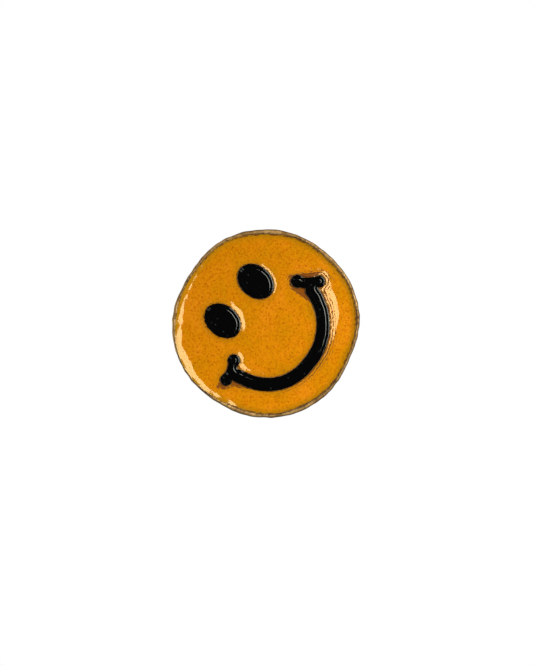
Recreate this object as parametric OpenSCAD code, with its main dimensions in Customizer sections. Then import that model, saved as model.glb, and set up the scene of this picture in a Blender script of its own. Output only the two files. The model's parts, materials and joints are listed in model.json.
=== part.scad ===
// Enamelled smiling-face lapel badge, struck in brass, with a tack post and a butterfly clutch.
//
// The badge is in its worn pose. The face looks along -Y with its forehead at +Z, and the post
// runs along +Y through the cloth. The origin is the centre of the badge's flat back, which is
// the face that lies against the cloth. All sizes are in millimetres.

/* [Struck blank] */
// Diameter of the badge before its edge was filed
blank_d = 20.2; // [16:0.1:26]
// Thickness of the badge from its back to the top of its rim
blank_t = 1.5; // [1.2:0.1:2]
// Thickness of metal left under the enamel
floor_t = 0.9; // [0.6:0.05:1]
// Width of the raised rim around the enamel
rim_w = 0.45; // [0.3:0.05:0.8]
// Width of the raised metal line around the eyes and the mouth
line_w = 0.13; // [0.1:0.01:0.3]
// Depth that the rim was filed away at its flattest place
filed_depth = 0.38; // [0:0.02:0.4]

/* [Enamel] */
// How far the yellow enamel lies below the top of the rim
field_drop = 0.14; // [0.05:0.01:0.3]
// How far the black enamel stands above the top of the rim
bead_rise = 0.18; // [0.05:0.01:0.3]
// Width of the rounded shoulder on the black enamel
bead_shoulder = 0.16; // [0.08:0.01:0.25]

/* [Face] */
// Distance of each eye's centre from the middle of the face
eye_x = 2.74; // [2.4:0.02:3.2]
// Height of the eyes above the middle of the face
eye_z = 3.73; // [3.2:0.05:4.2]
// Width of an eye
eye_w = 3.16; // [2.4:0.05:3.4]
// Height of an eye
eye_h = 4.14; // [3:0.05:4.4]
// Radius of the mouth along the middle of its stroke
mouth_r = 6.12; // [5.6:0.02:6.4]
// Width of the mouth's stroke
mouth_w = 1.34; // [1:0.02:1.6]
// Radius of the round ends of the two mouth creases
crease_r = 0.52; // [0.4:0.02:0.6]

/* [Post] */
// Diameter of the post
post_d = 1.1; // [1:0.05:1.2]
// Height of the post's point above the badge's back
post_len = 8; // [7.5:0.25:10]
// Diameter of the foot that the post stands on
foot_d = 4.6; // [4:0.1:5]
// Depth of the struck seat that the foot is soldered into
seat_depth = 0.1; // [0.08:0.01:0.15]

/* [Clutch] */
// Gap left for the cloth between the badge and the clutch
cloth_gap = 2.3; // [2.2:0.05:2.5]
// Diameter of the clutch's dish
dish_d = 11.4; // [11:0.1:12]
// Height of the dish's turned-up edge
dish_h = 1.3; // [1:0.1:1.4]
// Thickness of the dish's sheet metal
sheet_t = 0.4; // [0.3:0.05:0.45]
// Outer diameter of the cover over the spring
cover_d = 6.6; // [6.4:0.1:7]
// Height of the cover above the dish's floor
cover_h = 2.3; // [2.2:0.1:2.6]
// Width of each wing
wing_w = 4.2; // [3.6:0.1:4.3]
// Distance of the wing tips from the middle of the clutch
wing_reach = 5.7; // [5.6:0.1:6]

/* [Hidden] */
$fn = 96;
cut = 0.5;             // how far a cutter runs past the face that it opens

// Edge of the blank: a circle with four places filed flatter, as [angle, width, share of depth]
edge_points = 120;
filed_flats = [[99, 20, 1], [285, 21, 0.95], [187, 17, 0.5], [359, 19, 0.34]];

// Mouth: its middle, the ends of its arc, and each crease from its inner to its outer lobe
mouth_x = -0.25;
mouth_from = 182;
mouth_to = 356;
left_crease = [[-5.16, 0.2], [-7.32, -0.56]];
right_crease = [[5.5, 0.4], [7.16, -1.38]];
eye_points = 48;

bead_t = blank_t + bead_rise - floor_t;
field_t = blank_t - field_drop - floor_t;

// Post: two snap grooves, the first where the clutch's wire sits at rest
post_r = post_d / 2;
groove_depth = 0.17;
groove_h = 0.7;
groove_pitch = 1.7;
point_len = 0.9;
point_r = 0.12;
foot_t = 0.35;
solder_gap = 0.3;      // between the foot and the wall of its seat
solder_share = 0.7;    // how far up the foot's side the solder is drawn
seat_r = foot_d / 2 + solder_gap;
foot_top = foot_t - seat_depth;

// Clutch, in heights above the badge's back
dish_r = dish_d / 2;
dish_bend = 0.7;       // width of the dish's turned-up edge
bend_share = 0.3;      // how far a bend's middle lies inside its corner, as a share of the bend
hole_r = 1.15;         // hole that the post passes through
turn_gap = 0.02;       // running clearance between the dish and the cover
cover_r = cover_d / 2;
cover_wall = 0.35;
cover_foot_w = 0.5;
cover_foot_t = 0.3;
floor_y = cloth_gap + sheet_t;
cover_y = floor_y + turn_gap;
cover_top = cover_y + cover_h;

wire_r = 0.225;
wire_gap = 0.01;       // between the wire and the groove that it sits in
wire_x = post_r - groove_depth + wire_gap + wire_r;
wire_h = 0.85;         // of the wire's middle above the dish's floor
wire_y = floor_y + wire_h;
wire_end = 2.1;        // reach of the wire's legs each way from the post

wing_t = 0.35;
wing_pivot_x = 2.75;   // where each wing rocks in its window
wing_rib_r = 0.24;     // rib that the wing rocks on
wing_h = 1.4;          // of the wings inside the cover, above the dish's floor
wing_y = floor_y + wing_h;
wing_rise = 76;        // slope of the wings outside the cover, in degrees
wing_bend_r = 0.9;
wing_tip_r = 0.42;     // curl along the wing's free edge
curl_end = 20;         // direction in which the curl ends, in degrees
arc_steps = 8;
wing_corner_r = 1.2;
wing_tip_h = 5.1;      // of the wings' free edges above the dish's floor
wing_top = floor_y + wing_tip_h;
window_gap = 0.25;     // between a wing's edges and its window
window_drop = 0.6;     // how far each window reaches below the middle of its wing
finger_in = 1.3;       // inner edge of each finger from the middle of the wing
finger_out = 1.9;
slot_end = 2.05;       // how far out the slot between the fingers runs
notch_end = 1.65;      // how far out the wing is narrowed to its fingers
hook_x = 0.1;          // where the wing's two fingers turn down inside the wire
hook_t = 0.26;
hook_drop = 0.72;

// Placing: height above the back runs towards the viewer, or along the post

module to_front() { rotate([90, 0, 0]) children(); }
module to_back() { rotate([-90, 0, 0]) children(); }

// Outlines on the face, drawn with +X to the right and +Y up

function turn_from(a, b) = let (d = (a - b + 540) % 360) d - 180;
function filed(a, f) = f[2] * exp(-pow(turn_from(a, f[0]) / f[1], 2));
function edge_r(a) = blank_d / 2 - filed_depth * [for (f = filed_flats) filed(a, f)] * [for (f = filed_flats) 1];

module edge_outline(inset) {
  polygon([for (i = [0 : edge_points - 1])
    let (a = 360 * i / edge_points, r = edge_r(a) - inset) [r * cos(a), r * sin(a)]]);
}

module eye_outline(side, grow) {
  polygon([for (i = [0 : eye_points - 1])
    let (a = 360 * i / eye_points)
    [side * eye_x + (eye_w / 2 + grow) * cos(a), eye_z + (eye_h / 2 + grow) * sin(a)]]);
}

module crease_outline(ends, grow) {
  run = ends[1] - ends[0];
  translate(ends[0]) rotate(atan2(run[1], run[0])) {
    circle(r = crease_r + grow);
    translate([0, -crease_r - grow]) square([norm(run), 2 * (crease_r + grow)]);
    translate([norm(run), 0]) circle(r = crease_r + grow);
  }
}

// A wedge with its tip at the middle of the mouth, that keeps the arc between its two ends
module mouth_wedge() {
  polygon(concat([[0, 0]], arc([0, 0], 2 * mouth_r, mouth_from, mouth_to)));
}

module mouth_outline(grow) {
  translate([mouth_x, 0]) intersection() {
    difference() {
      circle(r = mouth_r + mouth_w / 2 + grow);
      circle(r = mouth_r - mouth_w / 2 - grow);
    }
    mouth_wedge();
  }
  crease_outline(left_crease, grow);
  crease_outline(right_crease, grow);
}

module field_outline() {
  difference() {
    edge_outline(rim_w);
    eye_outline(-1, line_w);
    eye_outline(1, line_w);
    mouth_outline(line_w);
  }
}

// Brass blank, struck with a rim and a thin raised line round each cell
module blank() {
  color("#a5864c") difference() {
    to_front() difference() {
      linear_extrude(height = blank_t) edge_outline(0);
      translate([0, 0, floor_t]) linear_extrude(height = blank_t) {
        field_outline();
        eye_outline(-1, 0);
        eye_outline(1, 0);
        mouth_outline(0);
      }
    }
    to_back() translate([0, 0, -seat_depth]) cylinder(r = seat_r, h = seat_depth + cut);
  }
}

// Yellow enamel, filled to just below the rim
module field_enamel() {
  color("#d58307") to_front() translate([0, 0, floor_t]) linear_extrude(height = field_t) field_outline();
}

// Black enamel stands proud of its line as a bead: a body with a shoulder set in above it
module eye_bead(side) {
  color("#0b0b0d") to_front() translate([0, 0, floor_t]) {
    linear_extrude(height = bead_t - bead_shoulder) eye_outline(side, 0);
    linear_extrude(height = bead_t) eye_outline(side, -bead_shoulder);
  }
}

module left_eye_enamel() { eye_bead(-1); }
module right_eye_enamel() { eye_bead(1); }

module mouth_enamel() {
  color("#0b0b0d") to_front() translate([0, 0, floor_t]) {
    linear_extrude(height = bead_t - bead_shoulder) mouth_outline(0);
    linear_extrude(height = bead_t) mouth_outline(-bead_shoulder);
  }
}

// Tack post: foot, shank, two snap grooves and a blunted point
module post() {
  color("#c9b27a") to_back() difference() {
    union() {
      translate([0, 0, -seat_depth]) cylinder(d = foot_d, h = foot_t);
      cylinder(r = post_r, h = post_len - point_len);
      translate([0, 0, post_len - point_len]) cylinder(r1 = post_r, r2 = point_r, h = point_len);
    }
    for (i = [0, 1]) translate([0, 0, wire_y - groove_h / 2 + i * groove_pitch]) difference() {
      cylinder(r = post_d, h = groove_h);
      translate([0, 0, -cut]) cylinder(r = post_r - groove_depth, h = groove_h + 2 * cut);
    }
  }
}

// Ring of solder between the foot's edge and the wall of the seat, drawn up the foot's side
module post_solder() {
  color("#b9bbb8") to_back() rotate_extrude() polygon([
    [foot_d / 2, -seat_depth], [seat_r, -seat_depth], [seat_r, 0],
    [foot_d / 2, foot_top * solder_share]
  ]);
}

// Round dish with its edge turned up, away from the cloth
module clutch_dish() {
  color("#c8a24e") to_back() rotate_extrude() polygon([
    [hole_r, cloth_gap], [dish_r - dish_bend, cloth_gap],
    [dish_r - dish_bend * bend_share, cloth_gap + dish_bend * bend_share],
    [dish_r, cloth_gap + dish_bend], [dish_r, cloth_gap + dish_h],
    [dish_r - sheet_t, cloth_gap + dish_h], [dish_r - sheet_t, cloth_gap + dish_bend],
    [dish_r - dish_bend, floor_y], [hole_r, floor_y]
  ]);
}

// Cap over the spring, with a hole for the post and a window on each side for a wing
module clutch_cover() {
  window_y = wing_y - window_drop;
  color("#c8a24e") difference() {
    to_back() rotate_extrude() polygon([
      [cover_r - cover_wall, cover_y], [cover_r + cover_foot_w, cover_y],
      [cover_r + cover_foot_w, cover_y + cover_foot_t], [cover_r, cover_y + cover_foot_t],
      [cover_r, cover_top - cover_wall], [cover_r - cover_wall * bend_share, cover_top - cover_wall * bend_share],
      [cover_r - cover_wall, cover_top], [hole_r, cover_top], [hole_r, cover_top - cover_wall],
      [cover_r - cover_wall, cover_top - cover_wall]
    ]);
    translate([-dish_d, window_y, -wing_w / 2 - window_gap])
      cube([2 * dish_d, cover_top - cover_wall - window_y, wing_w + 2 * window_gap]);
  }
}

// Steel hairpin: two legs that grip the post in its groove, joined by a round bend
module clutch_spring() {
  color("#8f9499") translate([0, wire_y, 0]) {
    for (side = [-1, 1]) translate([side * wire_x, 0, -wire_end]) cylinder(r = wire_r, h = 2 * wire_end - wire_r);
    translate([0, 0, wire_end - wire_r]) to_front() rotate_extrude(angle = 180)
      translate([wire_x, 0]) circle(r = wire_r);
  }
}

function arc(c, r, from, to) =
  [for (i = [0 : arc_steps]) let (a = from + (to - from) * i / arc_steps) c + r * [cos(a), sin(a)]];

// A wing seen along its hinge: flat inside the cover, bent up outside it, and curled at its tip
module wing_profile() {
  half = wing_t / 2;
  tip = [wing_reach - wing_tip_r * (1 + sin(wing_rise)) - half, wing_top - wing_tip_r];
  across = [sin(wing_rise), -cos(wing_rise)];
  bend_x = tip[0] - (tip[1] - wing_y) / tan(wing_rise) - wing_bend_r * tan(wing_rise / 2);
  bend_c = [bend_x, wing_y + wing_bend_r];
  curl_c = tip + across * wing_tip_r;
  polygon(concat(
    [[hook_x, wing_y - half]],
    arc(bend_c, wing_bend_r + half, -90, wing_rise - 90),
    arc(curl_c, wing_tip_r - half, wing_rise + 90, curl_end),
    arc(curl_c, wing_tip_r + half, curl_end, wing_rise + 90),
    arc(bend_c, wing_bend_r - half, wing_rise - 90, -90),
    [[hook_x, wing_y + half]]
  ));
}

// The same wing seen from its side, with rounded corners at its free edge
module wing_front() {
  shoulder = wing_top - wing_corner_r;
  translate([0, -wing_w / 2]) square([shoulder, wing_w]);
  translate([0, wing_corner_r - wing_w / 2]) square([wing_top, wing_w - 2 * wing_corner_r]);
  for (side = [-1, 1]) translate([shoulder, side * (wing_w / 2 - wing_corner_r)]) circle(r = wing_corner_r);
}

// Inside the cover the wing is cut into two fingers that pass the post, each with a hook
// that reaches down behind a leg of the wire and draws it outwards when the wing is squeezed
module wing() {
  half = wing_t / 2;
  difference() {
    intersection() {
      linear_extrude(height = wing_w, center = true) wing_profile();
      rotate([90, 0, 90]) linear_extrude(height = dish_d) wing_front();
    }
    translate([-cut, 0, -finger_in]) cube([slot_end + cut, wing_top, 2 * finger_in]);
    for (side = [-1, 1]) translate([-cut, 0, side * (finger_out + wing_w) / 2 - (wing_w - finger_out) / 2])
      cube([notch_end + cut, wing_top, wing_w - finger_out]);
  }
  translate([wing_pivot_x, wing_y, -wing_w / 2]) cylinder(r = wing_rib_r, h = wing_w);
  for (side = [-1, 1]) translate([hook_x, wing_y + half - hook_drop, side * (finger_in + finger_out) / 2])
    translate([0, 0, -(finger_out - finger_in) / 2]) cube([hook_t, hook_drop, finger_out - finger_in]);
}

module wing_left() { color("#c8a24e") mirror([1, 0, 0]) wing(); }
module wing_right() { color("#c8a24e") wing(); }

blank();
field_enamel();
left_eye_enamel();
right_eye_enamel();
mouth_enamel();
post();
post_solder();
clutch_dish();
clutch_cover();
clutch_spring();
wing_left();
wing_right();
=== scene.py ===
import json
import math
import bpy
import numpy as np
from mathutils import Matrix, Vector


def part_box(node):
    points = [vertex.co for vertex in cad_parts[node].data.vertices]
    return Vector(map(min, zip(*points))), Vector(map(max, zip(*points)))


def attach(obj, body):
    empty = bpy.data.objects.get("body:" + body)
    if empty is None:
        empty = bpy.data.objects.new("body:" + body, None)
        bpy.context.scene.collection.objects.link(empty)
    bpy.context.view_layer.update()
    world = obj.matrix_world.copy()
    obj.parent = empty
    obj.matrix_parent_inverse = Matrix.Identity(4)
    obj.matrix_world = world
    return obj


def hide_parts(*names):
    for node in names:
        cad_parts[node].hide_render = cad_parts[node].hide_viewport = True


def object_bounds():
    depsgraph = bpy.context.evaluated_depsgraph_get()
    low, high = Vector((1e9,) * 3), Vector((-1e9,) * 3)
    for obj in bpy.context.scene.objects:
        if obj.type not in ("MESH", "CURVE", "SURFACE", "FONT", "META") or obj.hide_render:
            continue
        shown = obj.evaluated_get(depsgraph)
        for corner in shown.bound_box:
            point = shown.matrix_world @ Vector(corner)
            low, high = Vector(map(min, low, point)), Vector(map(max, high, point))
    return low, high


# Enamelled lapel badge in its worn pose: the face looks along -Y, the post runs along +Y.
# Shapes are worked out in millimetres and turned to metres when they become meshes.
# "Height" is the distance in front of the badge's flat back, so a point's y is minus its height.
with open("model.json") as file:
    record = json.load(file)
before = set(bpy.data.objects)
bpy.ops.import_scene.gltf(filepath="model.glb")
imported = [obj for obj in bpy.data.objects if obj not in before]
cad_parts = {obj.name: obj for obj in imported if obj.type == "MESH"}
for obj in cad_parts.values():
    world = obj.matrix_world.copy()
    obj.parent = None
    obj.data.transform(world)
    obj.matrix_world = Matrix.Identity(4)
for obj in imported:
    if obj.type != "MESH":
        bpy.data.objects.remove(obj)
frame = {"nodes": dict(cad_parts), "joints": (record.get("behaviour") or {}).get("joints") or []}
cadLow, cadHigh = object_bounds()
mm = 0.001
fullTurn = 2 * np.pi
print("frame loaded with", len(frame["nodes"]), "nodes")


# Lowest and highest corner of a CAD node, in millimetres
def boxMm(node):
    low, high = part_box(node)
    return np.array(low) / mm, np.array(high) / mm


# Linear colour from sRGB hex: divided by 12.92 near black, raised to the power 2.4 above that
def hexColour(text):
    channels = np.array([int(text[i:i + 2], 16) for i in (1, 3, 5)]) / 255
    linear = np.where(channels <= 0.04045, channels / 12.92, ((channels + 0.055) / 1.055) ** 2.4)
    return (*linear.tolist(), 1.0)


# Adds a node: a socket among the inputs is linked, anything else is set on the node's own socket.
# A Map Range has its two ranges at inputs 1 to 4, and a Mix its factor and two sides at 0, 2 and 3, or at
# 0, 6 and 7 for colours.
def addNode(tree, kind, settings=None, inputs=None, stops=None):
    node = tree.nodes.new(kind)
    for key, value in (settings or {}).items():
        setattr(node, key, value)
    for key, value in (inputs or {}).items():
        if isinstance(value, bpy.types.NodeSocket):
            tree.links.new(value, node.inputs[key])
        else:
            node.inputs[key].default_value = value
    if stops:
        ramp = node.color_ramp.elements
        ramp.remove(ramp[1])
        ramp[0].position, ramp[0].color = stops[0]
        for place, colour in stops[1:]:
            ramp.new(place).color = colour
    return node


# Smooth noise round a circle: a sum of whole-number waves with random phases, about 1 rms
def wobble(angle, seed, fewest, most):
    draw = np.random.default_rng(seed)
    waves = np.arange(fewest, most + 1)
    phases = draw.uniform(0, fullTurn, waves.size)
    sizes = draw.uniform(0.5, 1, waves.size) / np.sqrt(waves)
    total = (sizes * np.sin(np.asarray(angle)[..., None] * waves + phases)).sum(-1)
    return total / np.sqrt((sizes ** 2).sum() / 2)


# Smooth noise over the face: a sum of plane waves in random directions, about 1 rms
def ripple(x, z, seed, wavelength, count=14):
    draw = np.random.default_rng(seed)
    turns, phases = draw.uniform(0, fullTurn, (2, count))
    pitch = fullTurn / (wavelength * draw.uniform(0.7, 1.4, count))
    along = x[..., None] * np.cos(turns) + z[..., None] * np.sin(turns)
    return np.sin(along * pitch + phases).sum(-1) / np.sqrt(count / 2)


# Surface on a grid of points, rows by columns: each cell is a quad, the last column joins the first, and
# so does the last row where rows wrap; an end row is closed by a fan round its middle or by one flat face.
# A closed surface is turned outwards by the sign of its volume, summed over its triangles.
def gridShell(points, wrapRows=False, caps=("fan", "fan"), keep=None, marks=None):
    rows, columns = points.shape[:2]
    index = np.arange(rows * columns).reshape(rows, columns)
    if wrapRows:
        index = np.vstack([index, index[:1]])
    index = np.hstack([index, index[:, :1]])
    cells = np.stack([index[:-1, :-1], index[1:, :-1], index[1:, 1:], index[:-1, 1:]], -1)
    quads = (cells if keep is None else cells[keep]).reshape(-1, 4)
    flat = points.reshape(-1, 3)
    values = {key: np.broadcast_to(value, (rows, columns)).ravel() for key, value in (marks or {}).items()}
    faces = quads.tolist()
    triangles = [quads[:, [0, 1, 2]], quads[:, [0, 2, 3]]]
    for row, cap in zip((0, rows - 1), (None, None) if wrapRows else caps):
        ring = index[row, :columns]
        ring = ring if row == 0 else ring[::-1]
        if cap == "fan":
            fan = np.stack([ring, np.roll(ring, -1), np.full(columns, len(flat))], -1)
            flat = np.vstack([flat, flat[ring].mean(0)])
            values = {key: np.append(value, value[ring].mean()) for key, value in values.items()}
            faces += fan.tolist()
            triangles.append(fan)
        elif cap == "face":
            faces.append(ring.tolist())
            triangles.append(np.stack([np.full(columns - 2, ring[0]), ring[1:-1], ring[2:]], -1))
    a, b, c = np.moveaxis(flat[np.vstack(triangles)], 1, 0)
    if keep is None and (a * np.cross(b, c)).sum() < 0:
        faces = [face[::-1] for face in faces]
    return {"points": flat, "faces": faces, "marks": values}


# Joins shells into one piece that rides a body and stands for a CAD node
def buildPiece(name, shells, body, node, material, sharpAngle=38, sheet=0, bevel=0):
    starts = np.cumsum([0] + [len(shell["points"]) for shell in shells]).tolist()
    faces = [[corner + start for corner in face]
             for start, shell in zip(starts, shells) for face in shell["faces"]]
    mesh = bpy.data.meshes.new(name)
    mesh.from_pydata((np.vstack([shell["points"] for shell in shells]) * mm).tolist(), [], faces)
    for key in sorted({key for shell in shells for key in shell["marks"]}):
        layer = mesh.attributes.new(key, "FLOAT", "POINT")
        values = [shell["marks"].get(key, np.zeros(len(shell["points"]))) for shell in shells]
        layer.data.foreach_set("value", np.concatenate(values).astype(np.float32))
    mesh.materials.append(material)
    mesh.shade_smooth()
    mesh.set_sharp_from_angle(angle=math.radians(sharpAngle))
    piece = bpy.data.objects.new(name, mesh)
    bpy.context.scene.collection.objects.link(piece)
    if sheet:
        wall = piece.modifiers.new("sheet metal", "SOLIDIFY")
        wall.thickness, wall.offset, wall.use_even_offset = sheet * mm, 0, True
    if bevel:
        edge = piece.modifiers.new("broken edges", "BEVEL")
        edge.width, edge.segments, edge.limit_method = bevel * mm, 2, "ANGLE"
        edge.angle_limit = math.radians(40)
        edge.harden_normals = True
    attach(piece, body)
    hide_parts(node)
    print("made", name, "with", len(mesh.polygons), "faces")


# Profile of points (radius, y) turned about the post's axis
def lathe(profile, columns, **options):
    profile = np.asarray(profile, float)
    turn = np.linspace(0, fullTurn, columns, endpoint=False)
    height = np.broadcast_to(profile[:, 1:], (len(profile), columns))
    points = np.stack([profile[:, :1] * np.cos(turn), height, profile[:, :1] * np.sin(turn)], -1)
    return gridShell(points, **options)


# Points on a circle's arc, with angles in degrees
def arcPoints(centre, radius, start, end, count):
    turn = np.radians(np.linspace(start, end, count))
    return np.stack([centre[0] + radius * np.cos(turn), centre[1] + radius * np.sin(turn)], -1)


# Distance along a path at each of its points
def runAlong(path):
    return np.concatenate([[0], np.cumsum(np.linalg.norm(np.diff(path, axis=0), axis=1))])


# Points of a path at given distances along it
def pointsAt(path, distances):
    run = runAlong(path)
    return np.stack([np.interp(distances, run, path[:, i]) for i in (0, 1)], -1)


# Evenly spaced points along a closed outline
def evenly(outline, count):
    path = np.vstack([outline, outline[:1]])
    return pointsAt(path, np.linspace(0, runAlong(path)[-1], count, endpoint=False))


viewSettings = {
    "lens": 100,             # mm
    "sensor": 36,            # mm, along the long side
    "frameHeight": 70.9,     # mm of the scene that the long side takes in, at the badge's front
    "aim": (-0.73, -0.69),   # mm from the badge's middle to the middle of the frame
    "roll": 50,              # degrees that the face leans over in the frame
}
frontY = cadLow.y / mm


def makeCamera(s):
    data = bpy.data.cameras.new("camera")
    data.type = "PERSP"
    data.lens, data.sensor_width = s["lens"], s["sensor"]
    data.clip_start, data.clip_end = 0.01, 10
    camera = bpy.data.objects.new("camera", data)
    roll = math.radians(s["roll"])
    right = Vector((math.cos(roll), 0, -math.sin(roll)))
    up = Vector((math.sin(roll), 0, math.cos(roll)))
    distance = s["frameHeight"] * s["lens"] / s["sensor"]
    place = Vector((s["aim"][0], frontY - distance, s["aim"][1])) * mm
    turn = Matrix((right, up, right.cross(up))).transposed().to_4x4()
    camera.matrix_world = Matrix.Translation(place) @ turn
    bpy.context.scene.collection.objects.link(camera)
    bpy.context.scene.camera = camera


# Each light: where it is from the badge, its two sides and its power; all face the badge
lightSettings = {
    "key softbox": {"place": (0.285, -0.60, -0.155), "size": (0.40, 0.42), "power": 5.4, "colour": "#fffaf2"},
    "left strip": {"place": (-0.30, -0.60, 0.14), "size": (0.08, 0.25), "power": 0.035, "colour": "#ffffff"},
    "left fill": {"place": (-0.85, -0.20, 0.5), "size": (0.5, 0.5), "power": 1.9, "colour": "#ffffff"},
    "back key": {"place": (-0.5, 0.65, 0.55), "size": (0.5, 0.5), "power": 6.0, "colour": "#ffffff"},
    "back fill": {"place": (0.7, 0.5, 0.1), "size": (0.5, 0.5), "power": 2.4, "colour": "#ffffff"},
    "overhead": {"place": (0.05, -0.1, 0.9), "size": (0.7, 0.7), "power": 3.0, "colour": "#ffffff"},
}


def makeLights(settings):
    for name, s in settings.items():
        data = bpy.data.lights.new(name, "AREA")
        data.shape, data.size, data.size_y = "RECTANGLE", s["size"][0], s["size"][1]
        data.energy = s["power"]
        data.color = hexColour(s["colour"])[:3]
        light = bpy.data.objects.new(name, data)
        place = Vector(s["place"])
        light.matrix_world = Matrix.Translation(place) @ place.to_track_quat("Z", "Y").to_matrix().to_4x4()
        bpy.context.scene.collection.objects.link(light)


studioSettings = {"white": 1.0, "dim": 0.03}   # what the camera sees behind the badge, what all else does


def makeWorld(s):
    world = bpy.data.worlds.new("studio")
    world.use_nodes = True
    tree = world.node_tree
    tree.nodes.clear()
    path = addNode(tree, "ShaderNodeLightPath")
    power = addNode(tree, "ShaderNodeMix", {"data_type": "FLOAT"},
                    {0: path.outputs["Is Camera Ray"], 2: s["dim"], 3: s["white"]})
    sky = addNode(tree, "ShaderNodeBackground", None, {"Color": (1, 1, 1, 1), "Strength": power.outputs[0]})
    addNode(tree, "ShaderNodeOutputWorld", None, {"Surface": sky.outputs[0]})
    bpy.context.scene.world = world


floorSettings = {"drop": 100, "radius": 200, "tone": "#f4f4f4"}   # mm below the badge's middle, mm


def makeFloor(s):
    turn = np.linspace(0, fullTurn, 96, endpoint=False)
    rim = np.stack([s["radius"] * np.cos(turn), s["radius"] * np.sin(turn), np.full(96, -s["drop"])], -1)
    mesh = bpy.data.meshes.new("floor")
    mesh.from_pydata((rim * mm).tolist(), [], [list(range(96))])
    material = bpy.data.materials.new("matt white card")
    material.use_nodes = True
    shader = material.node_tree.nodes["Principled BSDF"]
    shader.inputs["Base Color"].default_value = hexColour(s["tone"])
    shader.inputs["Roughness"].default_value = 0.9
    mesh.materials.append(material)
    floor = bpy.data.objects.new("floor", mesh)
    bpy.context.scene.collection.objects.link(floor)
    floor.visible_glossy = False     # the badge's polish mirrors the studio, not the card below it


makeCamera(viewSettings)
makeLights(lightSettings)
makeWorld(studioSettings)
makeFloor(floorSettings)
bpy.context.scene.view_settings.view_transform = "Standard"
print("camera, lights and floor are in place")


# A material with its shader and the object's own coordinates
def startMaterial(name):
    material = bpy.data.materials.new(name)
    material.use_nodes = True
    tree = material.node_tree
    tree.nodes.clear()
    shader = addNode(tree, "ShaderNodeBsdfPrincipled")
    addNode(tree, "ShaderNodeOutputMaterial", None, {"Surface": shader.outputs["BSDF"]})
    place = addNode(tree, "ShaderNodeTexCoord").outputs["Object"]
    return material, tree, shader, place


yellowSettings = {
    "body": "#d28203",                # fired orange-yellow
    "warm": "#da850a",                # where the grains lie thicker
    "cool": "#c98202",                # thinner, greener yellow
    "edge": "#a87a0a",                # olive where it thins out against the metal
    "burnt": "#8a4c14",               # copper seen through the thinnest enamel
    "speck": "#8f3c04",               # burnt grains
    "stain": "#5a2c0c",               # oxide in the seam against the metal
    "dark": (0.86, 0.72, 0.8, 1.0),   # what a dark grain multiplies the colour by
    "wisp": (1.07, 1.14, 2.4, 1.0),   # the same for a pale wisp
    "mottle": 2.2,                    # mm across a cloud of colour
    "clouds": (0.34, 0.5, 0.64),      # where the noise is cool, body and warm
    "grain": 0.26,                    # mm across a grain: coarser than the real 0.1, so that it shows
    "grains": (0.36, 0.5, 0.66),      # where the noise is dark, plain and pale
    "speckPitch": 0.44,               # mm between burnt grains
    "speckRim": (0.10, 0.27),         # where a burnt grain starts to fade and where it ends, in pitches
    "speckLost": 0.3,                 # oxide in the seam against the metal, and at the rim painted shade too
    "speckDepth": 0.65,               # how much of its own colour the most burnt one has
    "ragged": 0.5,                    # mm over which a crackle line wanders
    "crackle": 0.27,                  # mm between crackle lines
    "reach": 9,                       # mm from the middle to the bottom and to the top of the field
    "low": 1.18,                      # painted light: how much the colour is raised at the bottom, towards the key light
    "high": 0.92,                     # painted shade: how much it is lowered at the top, away from the key light
    "wave": 0.38,                     # mm across a ripple in the surface
    "waveHeight": 0.007,              # mm
    "roughness": (0.07, 0.7),         # of clean glass and of a dry stain
    "reflects": (0.5, 0.12),          # how strongly the two do
    "tint": (1.0, 0.86, 0.48, 1.0),   # of what the glass reflects
}


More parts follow.
